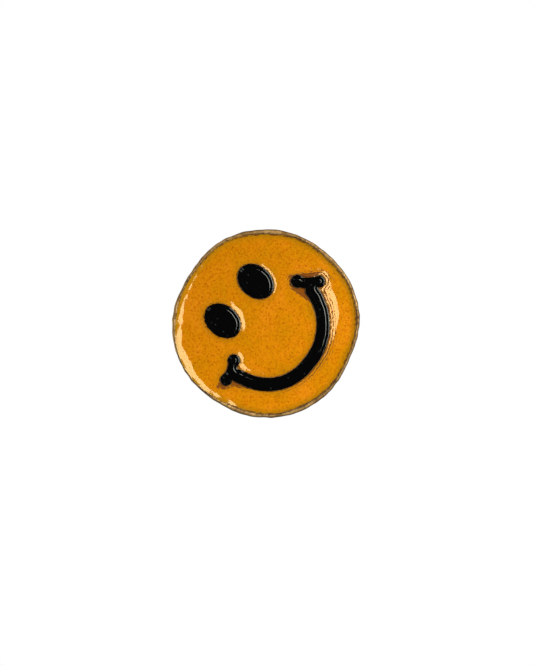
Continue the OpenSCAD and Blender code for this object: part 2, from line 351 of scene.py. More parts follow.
# Vitreous enamel, fired and hardly stoned: a wet gloss with shallow ripples over a grainy body colour
def makeYellowEnamel(s):
    material, tree, shader, place = startMaterial("fired yellow enamel")
    cloud = addNode(tree, "ShaderNodeTexNoise", None,
                    {"Vector": place, "Scale": 1 / (s["mottle"] * mm), "Detail": 3.0, "Roughness": 0.6})
    clouds = addNode(tree, "ShaderNodeValToRGB", None, {"Fac": cloud.outputs["Fac"]},
                     [*zip(s["clouds"], map(hexColour, (s["cool"], s["body"], s["warm"])))])
    grain = addNode(tree, "ShaderNodeTexNoise", None,
                    {"Vector": place, "Scale": 1 / (s["grain"] * mm), "Detail": 2.0, "Roughness": 0.7})
    grains = addNode(tree, "ShaderNodeValToRGB", None, {"Fac": grain.outputs["Fac"]},
                     [*zip(s["grains"], (s["dark"], (1.0, 1.0, 1.0, 1.0), s["wisp"]))])
    grained = addNode(tree, "ShaderNodeMix", {"data_type": "RGBA", "blend_type": "MULTIPLY"},
                      {0: 1.0, 6: clouds.outputs[0], 7: grains.outputs[0]})
    # the specks lie in the plane of the face, so that plane is turned to face the flat pattern
    turned = addNode(tree, "ShaderNodeMapping", None, {"Vector": place, "Rotation": (-math.pi / 2, 0, 0)})
    cell = addNode(tree, "ShaderNodeTexVoronoi", {"voronoi_dimensions": "2D"},
                   {"Vector": turned.outputs[0], "Scale": 1 / (s["speckPitch"] * mm)})
    near = addNode(tree, "ShaderNodeMapRange", {"interpolation_type": "SMOOTHSTEP"},
                   {"Value": cell.outputs["Distance"], 1: s["speckRim"][0], 2: s["speckRim"][1],
                    3: 1.0, 4: 0.0})
    chosen = addNode(tree, "ShaderNodeSeparateColor", None, {"Color": cell.outputs["Color"]})
    kept = addNode(tree, "ShaderNodeMapRange", None,
                   {"Value": chosen.outputs[0], 1: s["speckLost"], 2: 1.0, 3: 0.0, 4: s["speckDepth"]})
    speck = addNode(tree, "ShaderNodeMath", {"operation": "MULTIPLY"},
                    {0: near.outputs[0], 1: kept.outputs[0]})
    speckled = addNode(tree, "ShaderNodeMix", {"data_type": "RGBA"},
                       {0: speck.outputs[0], 6: grained.outputs[2], 7: hexColour(s["speck"])})
    # painted light and shade: the colour is made paler towards the bottom, where the key light comes from,
    # and darker towards the top
    height = addNode(tree, "ShaderNodeSeparateXYZ", None, {"Vector": place})
    run = addNode(tree, "ShaderNodeMapRange", None,
                  {"Value": height.outputs[2], 1: -s["reach"] * mm, 2: s["reach"] * mm,
                   3: s["low"], 4: s["high"]})
    shaded = addNode(tree, "ShaderNodeVectorMath", {"operation": "SCALE"},
                     {"Vector": speckled.outputs[2], "Scale": run.outputs[0]})
    thin = addNode(tree, "ShaderNodeAttribute", {"attribute_name": "thin"})
    thinned = addNode(tree, "ShaderNodeMix", {"data_type": "RGBA"},
                      {0: thin.outputs["Fac"], 6: shaded.outputs[0], 7: hexColour(s["edge"])})
    # burnt corners, with ragged edges
    web = addNode(tree, "ShaderNodeAttribute", {"attribute_name": "web"})
    torn = addNode(tree, "ShaderNodeMath", {"operation": "MULTIPLY_ADD"},
                   {0: grain.outputs["Fac"], 1: 1.3, 2: web.outputs["Fac"]})
    bare = addNode(tree, "ShaderNodeMapRange", {"interpolation_type": "SMOOTHSTEP"},
                   {"Value": torn.outputs[0], 1: 0.8, 2: 1.3, 3: 0.0, 4: 0.95})
    copper = addNode(tree, "ShaderNodeMix", {"data_type": "RGBA"},
                     {0: bare.outputs[0], 6: thinned.outputs[2], 7: hexColour(s["burnt"])})
    # crackle: broken brown lines that run along the wall, where the noise shifts and thins them
    gap = addNode(tree, "ShaderNodeAttribute", {"attribute_name": "gap"})
    seam = addNode(tree, "ShaderNodeAttribute", {"attribute_name": "seam"})
    ragged = addNode(tree, "ShaderNodeTexNoise", None,
                     {"Vector": place, "Scale": 1 / (s["ragged"] * mm), "Detail": 2.0})
    phase = addNode(tree, "ShaderNodeMath", {"operation": "MULTIPLY_ADD"},
                    {0: gap.outputs["Fac"], 1: fullTurn / s["crackle"], 2: 0.9})
    shifted = addNode(tree, "ShaderNodeMath", {"operation": "MULTIPLY_ADD"},
                      {0: ragged.outputs["Fac"], 1: 7.0, 2: phase.outputs[0]})
    lines = addNode(tree, "ShaderNodeMath", {"operation": "SINE"}, {0: shifted.outputs[0]})
    broken = addNode(tree, "ShaderNodeMath", {"operation": "MULTIPLY_ADD"},
                     {0: grain.outputs["Fac"], 1: 1.8, 2: seam.outputs["Fac"]})
    strong = addNode(tree, "ShaderNodeMath", {"operation": "MULTIPLY_ADD"},
                     {0: lines.outputs[0], 1: 0.34, 2: broken.outputs[0]})
    stain = addNode(tree, "ShaderNodeMapRange", {"interpolation_type": "SMOOTHSTEP"},
                    {"Value": strong.outputs[0], 1: 1.5, 2: 1.8, 3: 0.0, 4: 0.85})
    stained = addNode(tree, "ShaderNodeMix", {"data_type": "RGBA"},
                      {0: stain.outputs[0], 6: copper.outputs[2], 7: hexColour(s["stain"])})
    wave = addNode(tree, "ShaderNodeTexNoise", None,
                   {"Vector": place, "Scale": 1 / (s["wave"] * mm), "Detail": 2.5, "Roughness": 0.55})
    swell = addNode(tree, "ShaderNodeBump", None,
                    {"Height": wave.outputs["Fac"], "Strength": 1.0, "Distance": s["waveHeight"] * mm})
    matt, shine = [addNode(tree, "ShaderNodeMapRange", None,
                           {"Value": stain.outputs[0], 1: 0.0, 2: 1.0, 3: clean, 4: dry})
                   for clean, dry in (s["roughness"], s["reflects"])]
    for socket, value in {"Base Color": stained.outputs[2], "Roughness": matt.outputs[0],
                          "Specular IOR Level": shine.outputs[0], "Normal": swell.outputs[0]}.items():
        tree.links.new(value, shader.inputs[socket])
    shader.inputs["IOR"].default_value = 1.55
    shader.inputs["Specular Tint"].default_value = s["tint"]
    return material


blackSettings = {
    "body": "#030304",
    "pit": "#33383a",        # dust that sits in a pinhole
    "pitPitch": 0.7,         # mm between places that can have a pinhole
    "pitRim": (0.03, 0.16),  # where a pinhole starts to fade and where it ends, in pitches
    "pitLost": 0.72,         # share of the places that have none
    "wave": 0.9,             # mm across a swell in the surface
    "waveHeight": 0.012,     # mm
    "tint": (0.9, 1.0, 0.92, 1.0),   # of what the glass reflects
}


# Black enamel: mirror-smooth beads with a few pinholes and a faint swell
def makeBlackEnamel(s):
    material, tree, shader, place = startMaterial("glossy black enamel")
    turned = addNode(tree, "ShaderNodeMapping", None, {"Vector": place, "Rotation": (-math.pi / 2, 0, 0)})
    cell = addNode(tree, "ShaderNodeTexVoronoi", {"voronoi_dimensions": "2D"},
                   {"Vector": turned.outputs[0], "Scale": 1 / (s["pitPitch"] * mm)})
    near = addNode(tree, "ShaderNodeMapRange", {"interpolation_type": "SMOOTHSTEP"},
                   {"Value": cell.outputs["Distance"], 1: s["pitRim"][0], 2: s["pitRim"][1], 3: 1.0, 4: 0.0})
    chosen = addNode(tree, "ShaderNodeSeparateColor", None, {"Color": cell.outputs["Color"]})
    kept = addNode(tree, "ShaderNodeMapRange", None,
                   {"Value": chosen.outputs[0], 1: s["pitLost"], 2: 1.0, 3: 0.0, 4: 0.9})
    pit = addNode(tree, "ShaderNodeMath", {"operation": "MULTIPLY"}, {0: near.outputs[0], 1: kept.outputs[0]})
    body = addNode(tree, "ShaderNodeMix", {"data_type": "RGBA"},
                   {0: pit.outputs[0], 6: hexColour(s["body"]), 7: hexColour(s["pit"])})
    wave = addNode(tree, "ShaderNodeTexNoise", None,
                   {"Vector": place, "Scale": 1 / (s["wave"] * mm), "Detail": 2.0})
    swell = addNode(tree, "ShaderNodeBump", None,
                    {"Height": wave.outputs["Fac"], "Strength": 1.0, "Distance": s["waveHeight"] * mm})
    tree.links.new(body.outputs[2], shader.inputs["Base Color"])
    tree.links.new(swell.outputs[0], shader.inputs["Normal"])
    shader.inputs["Roughness"].default_value = 0.06
    shader.inputs["IOR"].default_value = 1.47
    shader.inputs["Specular Tint"].default_value = s["tint"]
    return material


brassSettings = {
    "bright": "#ac8b57",     # rubbed metal
    "dull": "#7d5c2e",       # brown-gold tarnish
    "grime": "#35200d",      # oxide in pits and corners
    "copper": "#a0673a",     # red-brown metal of the cell lines, which the firing has burnt
    "plain": "#c3a263",      # the smooth back, which the file and the enamel never reached
    "cloud": 0.9,            # mm across a patch of tarnish
    "pit": 0.28,             # mm across a pit
    "mark": 0.15,            # mm between file marks: three times the real pitch, so that they show
    "markHeight": 0.02,      # mm
    "soil": (0.52, 0.74),    # where the noise starts to be dirty, and is wholly so
    "roughness": (0.42, 0.68),
}


# Struck brass, fired and then tarnished: soft sheen, rubbed bright on the rim, brown in the pits
def makeStruckBrass(s):
    material, tree, shader, place = startMaterial("tarnished struck brass")
    cloud = addNode(tree, "ShaderNodeTexNoise", None,
                    {"Vector": place, "Scale": 1 / (s["cloud"] * mm), "Detail": 4.0, "Roughness": 0.65})
    clouds = addNode(tree, "ShaderNodeValToRGB", None, {"Fac": cloud.outputs["Fac"]},
                     [(0.36, hexColour(s["dull"])), (0.62, hexColour(s["bright"]))])
    copper = addNode(tree, "ShaderNodeAttribute", {"attribute_name": "copper"})
    burnt = addNode(tree, "ShaderNodeMix", {"data_type": "RGBA"},
                    {0: copper.outputs["Fac"], 6: clouds.outputs[0], 7: hexColour(s["copper"])})
    plain = addNode(tree, "ShaderNodeAttribute", {"attribute_name": "plain"})
    cover = addNode(tree, "ShaderNodeMath", {"operation": "MULTIPLY"}, {0: plain.outputs["Fac"], 1: 0.75})
    backed = addNode(tree, "ShaderNodeMix", {"data_type": "RGBA"},
                     {0: cover.outputs[0], 6: burnt.outputs[2], 7: hexColour(s["plain"])})
    pits = addNode(tree, "ShaderNodeTexNoise", None,
                   {"Vector": place, "Scale": 1 / (s["pit"] * mm), "Detail": 3.0, "Roughness": 0.7})
    grime = addNode(tree, "ShaderNodeAttribute", {"attribute_name": "grime"})
    filled = addNode(tree, "ShaderNodeMath", {"operation": "ADD"},
                     {0: pits.outputs["Fac"], 1: grime.outputs["Fac"]})
    dirt = addNode(tree, "ShaderNodeMapRange", {"interpolation_type": "SMOOTHSTEP"},
                   {"Value": filled.outputs[0], 1: s["soil"][0], 2: s["soil"][1], 3: 0.0, 4: 0.9})
    soiled = addNode(tree, "ShaderNodeMix", {"data_type": "RGBA"},
                     {0: dirt.outputs[0], 6: backed.outputs[2], 7: hexColour(s["grime"])})
    tarnish = addNode(tree, "ShaderNodeMapRange", None,
                      {"Value": dirt.outputs[0], 1: 0.0, 2: 1.0, 3: 0.75, 4: 0.15})
    metal = addNode(tree, "ShaderNodeMath", {"operation": "MAXIMUM"},
                    {0: tarnish.outputs[0], 1: plain.outputs["Fac"]})
    worn = addNode(tree, "ShaderNodeMapRange", None,
                   {"Value": pits.outputs["Fac"], 1: 0.3, 2: 0.7, 3: s["roughness"][0], 4: s["roughness"][1]})
    dull = addNode(tree, "ShaderNodeMath", {"operation": "MULTIPLY_ADD"},
                   {0: plain.outputs["Fac"], 1: -0.2, 2: worn.outputs[0]})
    depth = addNode(tree, "ShaderNodeMapRange", None,
                    {"Value": plain.outputs["Fac"], 1: 0.0, 2: 1.0, 3: 1.0, 4: 0.25})
    fine = addNode(tree, "ShaderNodeTexNoise", None,
                   {"Vector": place, "Scale": 1 / (s["mark"] * mm), "Detail": 2.0})
    rough = addNode(tree, "ShaderNodeMath", {"operation": "MULTIPLY_ADD"},
                    {0: fine.outputs["Fac"], 1: 0.3, 2: pits.outputs["Fac"]})
    dent = addNode(tree, "ShaderNodeBump", None,
                   {"Height": rough.outputs[0], "Strength": depth.outputs[0],
                    "Distance": s["markHeight"] * mm})
    for socket, value in {"Base Color": soiled.outputs[2], "Metallic": metal.outputs[0],
                          "Roughness": dull.outputs[0], "Normal": dent.outputs[0]}.items():
        tree.links.new(value, shader.inputs[socket])
    return material


# Finishes of the fittings. Drawn brass wire is smooth and warm, with marks round it; solder is a grey,
# lumpy shine; pressed and gilt brass has a soft golden gloss; drawn spring steel is a cool, streaky grey.
# Each has two colours and the mm across a patch of them, the mm across a tool mark and how it is drawn out
# in x, y and z, the roughness between and in the marks, and their depth in mm.
fittingSettings = {
    "drawn brass wire": {
        "bright": "#d8bd7c", "dull": "#a88a4c", "cloud": 1.6,
        "mark": 0.06, "stretch": (1, 0.12, 1), "rough": (0.24, 0.38), "dent": 0.006,
    },
    "tin-lead solder": {
        "bright": "#bdbfbd", "dull": "#8b8d8a", "cloud": 0.7,
        "mark": 0.25, "stretch": (1, 1, 1), "rough": (0.28, 0.5), "dent": 0.03,
    },
    "gilt pressed brass": {
        "bright": "#e0b65c", "dull": "#b98c3c", "cloud": 2.2,
        "mark": 0.09, "stretch": (1, 1, 0.15), "rough": (0.23, 0.33), "dent": 0.003,
    },
    "drawn spring steel": {
        "bright": "#b4b7ba", "dull": "#7e8286", "cloud": 1.2,
        "mark": 0.05, "stretch": (1, 1, 0.1), "rough": (0.25, 0.4), "dent": 0.004,
    },
}


def makeFitting(name, s):
    material, tree, shader, place = startMaterial(name)
    cloud = addNode(tree, "ShaderNodeTexNoise", None,
                    {"Vector": place, "Scale": 1 / (s["cloud"] * mm), "Detail": 4.0, "Roughness": 0.6})
    tone = addNode(tree, "ShaderNodeValToRGB", None, {"Fac": cloud.outputs["Fac"]},
                   [(0.3, hexColour(s["dull"])), (0.6, hexColour(s["bright"]))])
    drawn = addNode(tree, "ShaderNodeMapping", None, {"Vector": place, "Scale": s["stretch"]})
    mark = addNode(tree, "ShaderNodeTexNoise", None,
                   {"Vector": drawn.outputs[0], "Scale": 1 / (s["mark"] * mm), "Detail": 3.0,
                    "Roughness": 0.6})
    rough = addNode(tree, "ShaderNodeMapRange", None,
                    {"Value": mark.outputs["Fac"], 1: 0.3, 2: 0.7, 3: s["rough"][0], 4: s["rough"][1]})
    dent = addNode(tree, "ShaderNodeBump", None,
                   {"Height": mark.outputs["Fac"], "Strength": 1.0, "Distance": s["dent"] * mm})
    for socket, value in {"Base Color": tone.outputs[0], "Roughness": rough.outputs[0],
                          "Normal": dent.outputs[0]}.items():
        tree.links.new(value, shader.inputs[socket])
    shader.inputs["Metallic"].default_value = 1.0
    return material


yellowEnamel = makeYellowEnamel(yellowSettings)
blackEnamel = makeBlackEnamel(blackSettings)
struckBrass = makeStruckBrass(brassSettings)
postBrass, solderTin, clutchBrass, springSteel = [makeFitting(*item) for item in fittingSettings.items()]
print("finishes are ready")


# Outlines lie on the face, with x to the right and z up.
# Radius of the blank's filed edge: the CAD outline's farthest corner in each of its directions
def readEdge(directions=120):
    mesh = frame["nodes"]["blank"].data
    points = np.empty(len(mesh.vertices) * 3, np.float32)
    mesh.vertices.foreach_get("co", points)
    x, z = points[0::3] / mm, points[2::3] / mm
    sector = np.rint(np.arctan2(z, x) / fullTurn * directions).astype(int) % directions
    radius = np.zeros(directions)
    np.maximum.at(radius, sector, np.hypot(x, z))
    return np.arange(directions) * fullTurn / directions, radius


edgeAngles, edgeRadii = readEdge()
blankLow, blankHigh = boxMm("blank")
rimTop = -blankLow[1]
cellFloor = -boxMm("field_enamel")[1][1]
beadTop = -boxMm("mouth_enamel")[0][1]

rimSettings = {
    "width": 0.44,                    # mm
    "vary": (0.06, 0.12),             # mm that the width varies by, and the most that it does
    "thinning": (0.15, 160, 36),      # mm filed off it, towards which direction, and its spread in degrees
    "nicks": (0.018, 2.2),            # mm of noise, and its shift so that it only takes metal away
    "dents": (0.012, 1.6),            # the same in the side
    "sink": (0.015, 2.2),             # the same in the rim's top
    "corner": 0.2,                    # mm over which the rim's outer corner is worn round
    "backCorner": 0.14,
    "fall": [(0.35, 0.0), (0.7, 0.01), (0.9, 0.03), (1.0, 0.07), (1.03, 0.14)],   # share inwards, mm down
    "seat": (2.6, 0.1),               # radius and depth of the seat for the post's foot
}


def edgeRadius(turn):
    return np.interp(turn, edgeAngles, edgeRadii, period=fullTurn)


def rimWidth(turn):
    less, toward, spread = rimSettings["thinning"]
    width = rimSettings["width"] - less * np.exp(-((np.degrees(turn) - toward) / spread) ** 2)
    vary, most = rimSettings["vary"]
    return width + np.clip(vary * wobble(turn, 3, 2, 9), -most, most)


lineSettings = {"width": 0.12, "top": 1.40}   # mm thick, and above the back


# Ellipse of an eye: its middle and its two half axes, from the CAD bead
def readEye(node):
    low, high = boxMm(node)
    return (low + high)[[0, 2]] / 2, (high - low)[[0, 2]] / 2


eyes = {"left": readEye("left_eye_enamel"), "right": readEye("right_eye_enamel")}


# Distance from an eye's edge, negative inside: the ellipse's own measure over its slope
def eyeDistance(x, z, eye):
    (middleX, middleZ), (halfX, halfZ) = eye
    across, up = (x - middleX) / halfX, (z - middleZ) / halfZ
    size = np.maximum(np.hypot(across, up), 1e-6)
    return (size - 1) * size / np.maximum(np.hypot(across / halfX, up / halfZ), 1e-6)


mouthSettings = {
    "middle": (-0.25, 0.0),
    "radius": 6.20,
    "halfWidth": 0.64,
    "ends": (-78, 76),                 # degrees from the bottom to each end of the stroke
    "creases": [                       # outer lobe, meeting with the stroke, inner lobe: x, z, half width
        [(-7.30, -0.60, 0.55), (-6.36, -0.53, 0.47), (-5.20, 0.08, 0.58)],
        [(7.10, -1.47, 0.53), (6.06, -0.48, 0.47), (5.62, 0.33, 0.62)],
    ],
    "fillets": (0.25, 0.2, 0.12),      # crease to stroke, lobe to crease, crease to crease
    "bow": ((0.17, 3.0), (0.09, 1.6)),   # mm the left and right arms swell, half waves in 180 degrees
}


# Smaller of two distances, with a fillet of about the given size where they are alike
def blendMin(a, b, size):
    return np.minimum(a, b) - np.maximum(size - np.abs(a - b), 0) ** 2 / (4 * size)


# Distance from a bar whose half width grows from one end to a round lobe at the other
def lobeDistance(x, z, joint, lobe):
    run = np.array([lobe[0] - joint[0], lobe[1] - joint[1]])
    share = np.clip(((x - joint[0]) * run[0] + (z - joint[1]) * run[1]) / (run @ run), 0, 1)
    bar = np.hypot(x - joint[0] - share * run[0], z - joint[1] - share * run[1]) - joint[2]
    return blendMin(bar, np.hypot(x - lobe[0], z - lobe[1]) - lobe[2], mouthSettings["fillets"][1])


# Distance from the mouth's edge, negative inside: the bent stroke and its four lobes, blended
def mouthDistance(x, z):
    s = mouthSettings
    side, drop = x - s["middle"][0], s["middle"][1] - z
    turn = np.clip(np.arctan2(side, drop), *np.radians(s["ends"]))
    (left, leftWaves), (right, rightWaves) = s["bow"]
    bow = np.where(turn < 0, left * np.sin(-turn * leftWaves), right * np.sin(turn * rightWaves))
    radius = s["radius"] + bow
    distance = np.hypot(side - radius * np.sin(turn), drop - radius * np.cos(turn)) - s["halfWidth"]
    for outer, joint, inner in s["creases"]:
        crease = blendMin(lobeDistance(x, z, joint, outer), lobeDistance(x, z, joint, inner), s["fillets"][2])
        distance = blendMin(distance, crease, s["fillets"][0])
    return distance


# Unit vectors away from a shape, from its distance function's slope
def awayFrom(distance, x, z, step=0.01):
    across = distance(x + step, z) - distance(x - step, z)
    up = distance(x, z + step) - distance(x, z - step)
    size = np.maximum(np.hypot(across, up), 1e-9)
    return np.stack([across / size, up / size], -1)


# A rough walk round the mouth, which only has to pass near its edge
walkSettings = {
    "stroke": (0.65, -0.6, 8),         # mm outside and inside the stroke's middle, degrees short of its ends
    "lobes": {                         # directions between which each lobe is rounded, and points on the way
        "rightOuter": (-130, 35, 14),
        "rightInner": (40, 215, 14),
        "leftInner": (-50, 120, 14),
        "leftOuter": (75, 285, 16),
    },
    "rightNotch": (0.32, 0.35),        # from the crease's meeting with the stroke to the notch above it
    "leftNotch": (0.0, 0.45),
    "rounds": (12, 0.8),               # how often the walk is drawn to the edge, and by how much of the gap
}


# Closed outline of the mouth, counter-clockwise: the rough walk is drawn onto its edge, step by step
def traceMouth(count=640):
    s, walk = mouthSettings, walkSettings
    (leftOuter, leftJoint, leftInner), (rightOuter, rightJoint, rightInner) = s["creases"]
    outside, inside, short = walk["stroke"]
    low, high = s["ends"][0] + short - 90, s["ends"][1] - short - 90
    lobe = {name: arcPoints(middle[:2], middle[2], *walk["lobes"][name])
            for name, middle in (("rightOuter", rightOuter), ("rightInner", rightInner),
                                 ("leftInner", leftInner), ("leftOuter", leftOuter))}
    line = evenly(np.vstack([
        arcPoints(s["middle"], s["radius"] + outside, low, high, 60),
        lobe["rightOuter"],
        [np.add(rightJoint[:2], walk["rightNotch"])],
        lobe["rightInner"],
        arcPoints(s["middle"], s["radius"] + inside, high, low, 60),
        lobe["leftInner"],
        [np.add(leftJoint[:2], walk["leftNotch"])],
        lobe["leftOuter"],
    ]), count)
    rounds, pull = walk["rounds"]
    for i in range(rounds):
        gap = mouthDistance(line[:, 0], line[:, 1])
        line = line - awayFrom(mouthDistance, line[:, 0], line[:, 1]) * gap[:, None] * pull
        line = evenly(line, count)
    return line, awayFrom(mouthDistance, line[:, 0], line[:, 1])


def traceEye(eye, count=160):
    turn = np.linspace(0, fullTurn, count, endpoint=False)
    (middleX, middleZ), (halfX, halfZ) = eye
    line = np.stack([middleX + halfX * np.cos(turn), middleZ + halfZ * np.sin(turn)], -1)
    away = np.stack([np.cos(turn) / halfX, np.sin(turn) / halfZ], -1)
    return line, away / np.linalg.norm(away, axis=1, keepdims=True)


# Corners of the cells where the enamel lies so thin that the burnt copper shows, as convex shapes
webs = [
    [(-8.6, -0.36), (-7.8, -0.12), (-7.7, -1.4), (-8.25, -1.05)],
    [(-7.65, -1.35), (-6.8, -1.05), (-6.45, -3.1), (-6.95, -2.3)],
    [(5.45, 1.42), (4.84, 0.8), (4.64, 0.0), (4.74, -1.6), (4.95, -2.3), (5.8, -0.7)],
    [(5.45, 1.42), (5.9, 1.1), (8.0, -0.86), (7.2, -1.2), (5.8, -0.2)],
]


# Distance from a convex shape: the farthest of its sides, for corners in either order
def webDistance(x, z, corners):
    points = np.array(corners)
    middle = points.mean(0)
    best = np.full(np.shape(x), -1e9)
    for start, end in zip(points, np.roll(points, -1, axis=0)):
        out = np.array([end[1] - start[1], start[0] - end[0]]) / np.linalg.norm(end - start)
        out = out if (middle - start) @ out < 0 else -out
        best = np.maximum(best, (x - start[0]) * out[0] + (z - start[1]) * out[1])
    return best


# A section carried round an outline: each section point is how far in from the outline and how high
def carryRound(line, away, section, **options):
    section = np.asarray(section, float)
    inset, height = section[:, 0, None, None], section[:, 1, None]
    flat = line[None] - away[None] * inset
    points = np.stack([flat[..., 0], -np.broadcast_to(height, flat.shape[:2]), flat[..., 1]], -1)
    return gridShell(points, **options)


# Blank: a section from the seat's middle out along the back, up the side, over the rim and back to the
# middle along the cell floor; it follows the filed edge outside the seat
def makeBlank():
    s = rimSettings
    turn = np.linspace(0, fullTurn, 480, endpoint=False)
    level = np.ones_like(turn)
    depth, shift = s["nicks"]
    edge = edgeRadius(turn) + np.minimum(depth * (wobble(turn, 11, 8, 60) - shift), 0)
    inner = edgeRadius(turn) - rimWidth(turn)
    seat, seatDepth = s["seat"]
    rows = [(0.4 * level, seatDepth * level), ((seat - 0.02) * level, seatDepth * level),
            (seat * level, (seatDepth - 0.02) * level), ((seat + 0.01) * level, 0.015 * level),
            ((seat + 0.03) * level, 0 * level)]
    for share in np.linspace(0.03, 1, 14):
        rows.append((seat + (edge - s["backCorner"] - seat) * share, 0 * level))
    for bend in np.radians(np.linspace(15, 90, 6)):
        rise = s["backCorner"] * (1 - np.cos(bend))
        rows.append((edge - s["backCorner"] * (1 - np.sin(bend)), rise * level))
    depth, shift = s["dents"]
    for share in np.linspace(0.1, 1, 9):
        dent = depth * np.sin(share * np.pi) * (wobble(turn, 20 + int(share * 10), 10, 50) - shift)
        height = s["backCorner"] + (rimTop - s["corner"] - s["backCorner"]) * share
        rows.append((edge + dent, height * level))
    depth, shift = s["sink"]
    top = rimTop + np.minimum(depth * (wobble(turn, 31, 3, 40) - shift), 0)
    worn = s["corner"] * 0.9
    for bend in np.radians(np.linspace(15, 90, 6)):
        rows.append((edge - worn * (1 - np.cos(bend)), top - s["corner"] * (1 - np.sin(bend))))
    for share, drop in s["fall"]:
        rows.append((edge - worn + (inner - edge + worn) * share, top - drop))
    rows.append((inner - 0.02, cellFloor * level))
    for share in (0.8, 0.5, 0.1):
        rows.append((inner * share, cellFloor * level))
    radius, height = np.moveaxis(np.array(rows), 1, 0)
    points = np.stack([radius * np.cos(turn), -height, radius * np.sin(turn)], -1)
    # grime: most at the foot of the rim and in patches along its top, and none on the smooth back
    patches = np.clip(0.2 - (radius - inner) / 0.8, -0.05, 0.2) + 0.05 * wobble(turn, 35, 3, 30)
    grime = np.where(height > rimTop - 0.3, patches, -0.06)
    plain = np.clip(1 - height / 0.25, 0, 1)
    return gridShell(points, marks={"grime": grime - 0.14 * plain, "copper": 0.0, "plain": plain})


# Cell line: a thin wall with a round top, whose inner side is hidden by the bead that laps over it
def makeLine(line, away, grime):
    width, top = lineSettings["width"], lineSettings["top"]
    section = [(0.03, cellFloor - 0.02), (0.03, top), (0.0, top + 0.02), (-0.05, top + 0.01),
               (-width, top - 0.05), (-width - 0.01, cellFloor - 0.02)]
    marks = {"copper": 0.12, "grime": grime, "plain": 0.0}
    return carryRound(line, away, section, wrapRows=True, marks=marks)


mouthLine, mouthAway = traceMouth()
metal = [makeBlank(), makeLine(mouthLine, mouthAway, 0.0)]
metal += [makeLine(*traceEye(eye), 0.02) for eye in eyes.values()]
buildPiece("struck_blank", metal, "badge", "blank", struckBrass)


fieldSettings = {
    "level": 1.26,                    # mm above the back in the open
    "underRim": 0.012,                # mm by which it runs into the rim
    "rim": (0.15, 0.60, 2.0),         # mm it rises at the rim, how far that reaches, and its power
    "rimBulge": (0.4, (88, 178, 18, 18)),    # mm more reach at the upper left, and its span
    "rimHollow": (0.8, (193, 280, 8, 8)),    # share of the rise lost at the lower left, and its span
    "leftEye": (0.13, 0.58, 2.0),     # rise, reach and power at the other walls
    "rightEye": (0.05, 0.28, 2.0),
    "mouth": (0.10, 0.45, 2.0),
    "pool": (0.23, 1.35),             # rise and power of the pool outside the right arm of the mouth
    "poolStart": 6.75,                # its radii at the stroke and at the bottom of the mouth
    "poolReach": 7.15,
    "poolBulges": [(1.05, 60, 33), (0.95, 81, 9)],   # mm more reach, its direction and spread in degrees
    "poolSpan": (2, 94, 30, 8),
    "bridge": [(-4.98, 0.05), (-5.7, -0.85), (-5.6, -2.25)],   # filled inner corner of the left crease
    "bridgeClimb": (0.13, 0.5, 2.0),
    "bridgeTop": (0.5, 0.4),          # height at which that filling has run out, and over how much it does
    "uneven": (0.08, 1.6),            # share by which the climbs vary, and over how many mm
    "swell": (0.006, 3.2),            # mm of swell in the open, and over how many
    "ripple": (0.0014, 0.6),
    "sunk": (-0.12, 0.03),            # mm inside a black cell where it drops, and mm above the floor there
}

# What the fire did to the yellow's colour near the metal; at the rim the dark seam is also painted shade. A
# stain has how far it is over full at the wall, the mm over which it goes, and its strength.
stainSettings = {
    "thinAtRim": (0.75, 1.2, 0.9),    # mm over which the enamel thins out, power and strength
    "thinAtLines": (0.9, 1.5, 0.5),
    "mouth": (1.08, 0.5, 0.66),
    "crackled": (0.7, 0.26),          # what crackle adds to the mouth's stain in mm and in strength
    "crackleSpan": (-50, 100, 60, 10),
    "eyes": (1.05, 0.5, 0.66),
    # at the rim the dark seam is oxide and also painted shade, where the rim's inner wall faces away from the
    # key light
    "rim": (1.3, 0.14, 1.0),
    "rimLitSide": (0.6, (88, 198, 18, 18)),    # share of the rim's painted shade left off at the upper left, where the key light falls, and its span
    "web": (1.1, 0.2, 0.86),
    "burnt": (0.3, 0.3, 1.0),
}


# Rise of the enamel where it climbs a wall: highest at the wall, falling by a power of the distance
def climb(distance, rise, reach, power):
    return rise * np.clip(1 - np.maximum(distance, 0) / reach, 0, 1) ** power


# Share of a span in degrees: 0 before its start, 1 inside, 0 past its end, with a fade at each of them
def within(degrees, span):
    start, end, fadeIn, fadeOut = span
    return np.clip((degrees - start) / fadeIn, 0, 1) * np.clip((end - degrees) / fadeOut, 0, 1)


# Strength of a stain: full at its wall and gone once its reach is passed
def stainAt(distance, over, reach, strength):
    return np.clip(over - distance / reach, 0, 1) * strength


# Where the field's points are: distances from its walls, and directions from its middle and the mouth's
def measureField(radius, turn, inner):
    x, z = radius * np.cos(turn), radius * np.sin(turn)
    side, drop = x - mouthSettings["middle"][0], mouthSettings["middle"][1] - z
    at = {"x": x, "z": z, "degrees": np.degrees(turn), "rim": inner - radius, "mouth": mouthDistance(x, z)}
    at["leftEye"], at["rightEye"] = eyeDistance(x, z, eyes["left"]), eyeDistance(x, z, eyes["right"])
    at["eyes"] = np.minimum(at["leftEye"], at["rightEye"])
    at["web"] = np.min([webDistance(x, z, web) for web in webs], axis=0)
    at["mouthDegrees"] = np.degrees(np.arctan2(side, drop))      # 0 at the bottom, 90 at the right
    at["mouthRadius"] = np.hypot(side, drop)
    at["outside"] = np.clip((at["mouthRadius"] - mouthSettings["radius"]) / 0.4, 0, 1)
    return at


